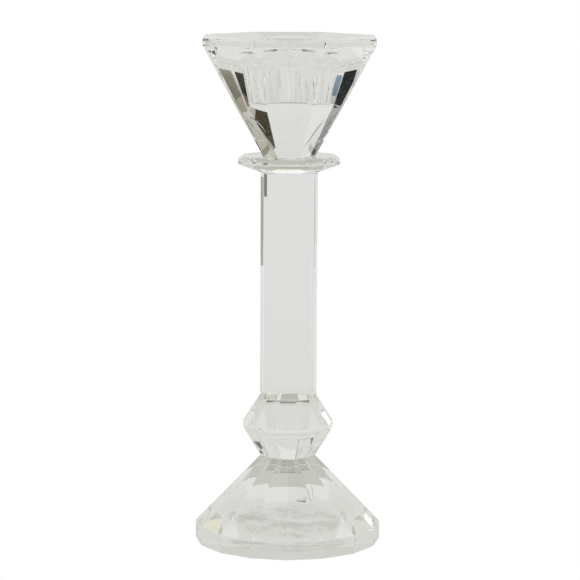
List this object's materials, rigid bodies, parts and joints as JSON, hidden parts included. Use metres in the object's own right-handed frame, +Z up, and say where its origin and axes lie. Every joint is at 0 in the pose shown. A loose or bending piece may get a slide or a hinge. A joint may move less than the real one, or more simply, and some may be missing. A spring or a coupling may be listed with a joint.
{
  "type": "glass candlestick",
  "caption": "Clear cut-glass candlestick: faceted conical foot, faceted knop, square stem, bevelled drip plate and tapered octagonal cup with a candle bore.",
  "frame": {"origin": "centre of the underside of the base, on the surface that the candlestick stands on", "axes": "+Z up along the stem; -Y is the front, which a flat of the cup, drip plate and knop and a corner of the base face"},
  "size_m": [0.0808, 0.0808, 0.22],
  "materials": {
    "optical_glass": "cut and polished",
    "clear_adhesive": "clear, cured"
  },
  "bodies": {
    "root": {"base": "optical_glass", "knop": "optical_glass", "stem": "optical_glass", "drip_plate": "optical_glass", "candle_cup": "optical_glass", "bond_base_knop": "clear_adhesive", "bond_knop_stem": "clear_adhesive", "bond_stem_plate": "clear_adhesive", "bond_plate_cup": "clear_adhesive"}
  },
  "joints": []
}
